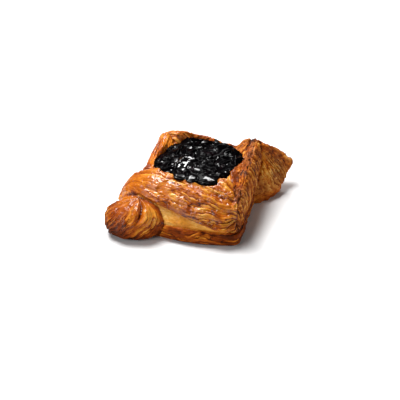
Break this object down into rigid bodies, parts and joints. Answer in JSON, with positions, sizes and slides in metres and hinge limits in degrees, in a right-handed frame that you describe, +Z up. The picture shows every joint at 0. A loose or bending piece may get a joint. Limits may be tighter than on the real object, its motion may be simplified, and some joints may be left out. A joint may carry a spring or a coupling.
{
  "type": "danish pastry",
  "caption": "Square danish pastry of folded laminated dough with twisted horn-like corners and a raised rim round a dark berry jam filling.",
  "frame": {"origin": "middle of the footprint, on the flat underside", "axes": "+Z up from the underside, +X from the left horn to the right horn"},
  "size_m": [0.1382, 0.099, 0.0373],
  "materials": {
    "crust": "egg-washed golden brown baked crust, semi-gloss",
    "jam": "wet glossy dark berry jam"
  },
  "bodies": {
    "root": {"crust": "crust", "jam": "jam"}
  },
  "joints": []
}
